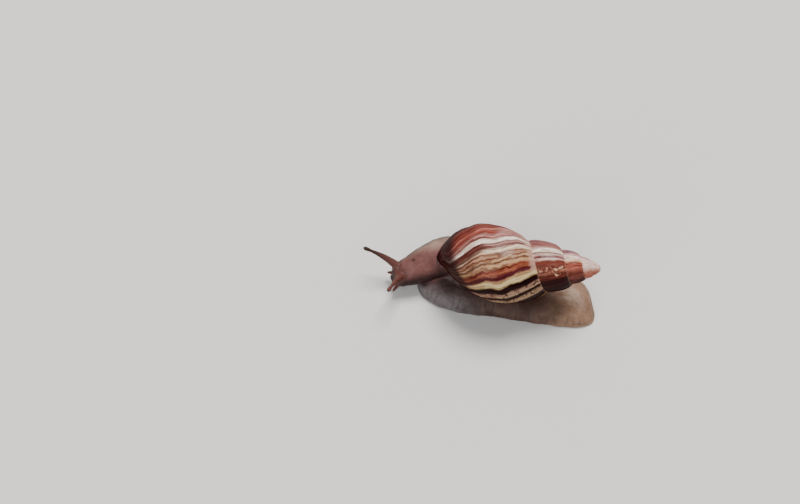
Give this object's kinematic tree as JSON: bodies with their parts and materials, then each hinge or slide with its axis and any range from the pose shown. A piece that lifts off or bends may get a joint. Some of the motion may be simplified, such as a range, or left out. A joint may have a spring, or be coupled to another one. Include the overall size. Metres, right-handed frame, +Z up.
{
  "type": "giant african land snail",
  "caption": "Life-size giant African land snail, crawling with its tentacles out, a striped pointed shell on its back; rests flat on its sole",
  "frame": {"origin": "the middle of the animal's plan, on the floor under its sole", "axes": "+X points from head to tail along the foot, +Y to the snail's right, +Z up"},
  "size_m": [0.122, 0.0422, 0.0468],
  "materials": {
    "shell": "glossy shell with irregular dark brown and cream flame stripes",
    "skin": "damp satin skin, dark reddish brown, finely grained",
    "foot": "damp satin skin, grey to tan, with furrows down the side",
    "collar": "moist smooth skin, yellowish tan",
    "eye": "wet black"
  },
  "bodies": {
    "root": {"shell": "shell", "mantle_collar": "collar", "tail": "foot", "foot_middle": "foot", "foot_front": "foot", "head": "skin", "neck": "skin", "trunk": "skin", "lip_left": "skin", "lip_right": "skin", "tentacle_upper_left_base": "skin", "tentacle_upper_left_tip": "skin", "tentacle_upper_right_base": "skin", "tentacle_upper_right_tip": "skin", "tentacle_lower_left": "skin", "tentacle_lower_right": "skin", "eye_left": "eye", "eye_right": "eye"}
  },
  "joints": []
}
